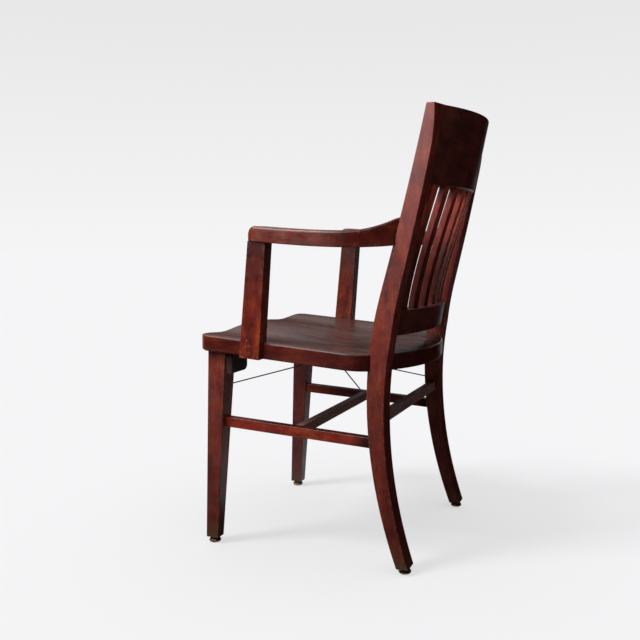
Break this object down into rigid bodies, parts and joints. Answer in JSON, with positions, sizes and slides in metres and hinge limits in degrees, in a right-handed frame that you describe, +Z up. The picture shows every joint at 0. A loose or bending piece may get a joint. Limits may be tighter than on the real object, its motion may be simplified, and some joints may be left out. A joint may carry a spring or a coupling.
{
  "type": "library armchair",
  "caption": "All-wood library armchair with a saddle seat, low arms, a slatted back under a broad curved crest rail, swept rear posts, stretchers and wire bracing.",
  "frame": {"origin": "on the floor, in the middle of the chair's footprint box", "axes": "+Z up; the sitter faces -Y; +X is the sitter's left"},
  "size_m": [0.544, 0.5326, 0.89],
  "materials": {
    "frame_wood": "mahogany stain under semi-gloss varnish",
    "seat_wood": "mahogany stain under worn semi-gloss varnish",
    "block_wood": "dull stained softwood",
    "dowel_wood": "bare",
    "steel": "dull grey wire and screws",
    "glide_metal": "tarnished domed glide",
    "rubber": "dark matt"
  },
  "bodies": {
    "root": {"back_slat_1": "frame_wood", "back_slat_2": "frame_wood", "back_slat_3": "frame_wood", "back_slat_4": "frame_wood", "back_slat_5": "frame_wood", "back_slat_6": "frame_wood", "brace_hub": "steel", "brace_wire_front_left": "steel", "brace_wire_front_right": "steel", "brace_wire_rear_left": "steel", "brace_wire_rear_right": "steel", "crest_rail": "frame_wood", "cross_stretcher": "frame_wood", "glide_base_front_left": "glide_metal", "glide_base_front_right": "glide_metal", "glide_base_rear_left": "glide_metal", "glide_base_rear_right": "glide_metal", "glide_cushion_front_left": "rubber", "glide_cushion_front_right": "rubber", "glide_cushion_rear_left": "rubber", "glide_cushion_rear_right": "rubber", "hub_screw": "steel", "left_arm": "frame_wood", "left_arm_post": "frame_wood", "left_arm_post_plug_1": "frame_wood", "left_arm_post_plug_2": "frame_wood", "left_arm_post_screw_1": "steel", "left_arm_post_screw_2": "steel", "left_corner_block": "block_wood", "left_corner_block_screw_1": "steel", "left_corner_block_screw_2": "steel", "left_front_leg": "frame_wood", "left_rear_post": "frame_wood", "left_seat_dowel_1": "dowel_wood", "left_seat_dowel_2": "dowel_wood", "left_side_stretcher": "frame_wood", "lower_back_rail": "frame_wood", "rear_stretcher": "frame_wood", "right_arm": "frame_wood", "right_arm_post": "frame_wood", "right_arm_post_plug_1": "frame_wood", "right_arm_post_plug_2": "frame_wood", "right_arm_post_screw_1": "steel", "right_arm_post_screw_2": "steel", "right_corner_block": "block_wood", "right_corner_block_screw_1": "steel", "right_corner_block_screw_2": "steel", "right_front_leg": "frame_wood", "right_rear_post": "frame_wood", "right_seat_dowel_1": "dowel_wood", "right_seat_dowel_2": "dowel_wood", "right_side_stretcher": "frame_wood", "seat": "seat_wood"}
  },
  "joints": []
}
